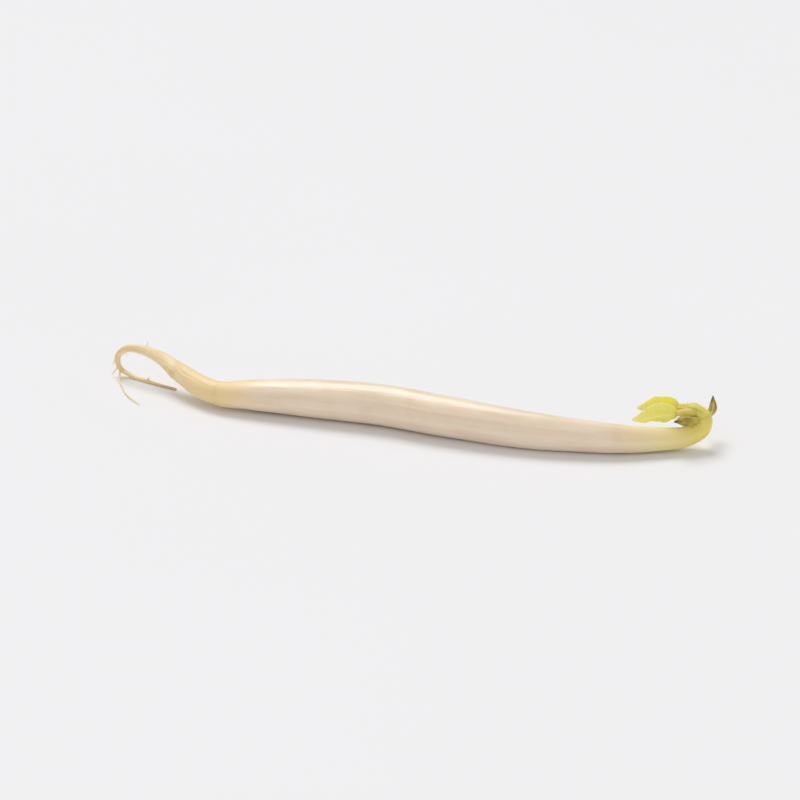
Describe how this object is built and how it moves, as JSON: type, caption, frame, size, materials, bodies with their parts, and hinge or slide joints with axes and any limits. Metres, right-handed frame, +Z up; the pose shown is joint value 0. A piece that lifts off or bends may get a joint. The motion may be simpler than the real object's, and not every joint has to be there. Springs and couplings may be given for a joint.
{
  "type": "mung bean sprout",
  "caption": "Fresh mung bean sprout lying on a surface: curled tan root, thick white stem, hooked neck with shrivelled seed leaves and folded yellow first leaves.",
  "frame": {"origin": "middle of the sprout's box, on the surface that the sprout lies on", "axes": "+X along the sprout from the curled root to the leafy head, +Y to the side that the root's curl bends to, +Z up"},
  "size_m": [0.0586, 0.0086, 0.0043],
  "materials": {
    "root_skin": "matte",
    "stem_skin": "satin",
    "shoot_skin": "satin",
    "dried_seed_leaf": "matte",
    "leaf_blade": "satin"
  },
  "bodies": {
    "root": {"root": "root_skin", "hypocotyl": "stem_skin", "epicotyl": "shoot_skin", "cotyledon_upper": "dried_seed_leaf", "cotyledon_lower": "dried_seed_leaf", "leaf_near": "leaf_blade", "leaf_far": "leaf_blade"}
  },
  "joints": []
}
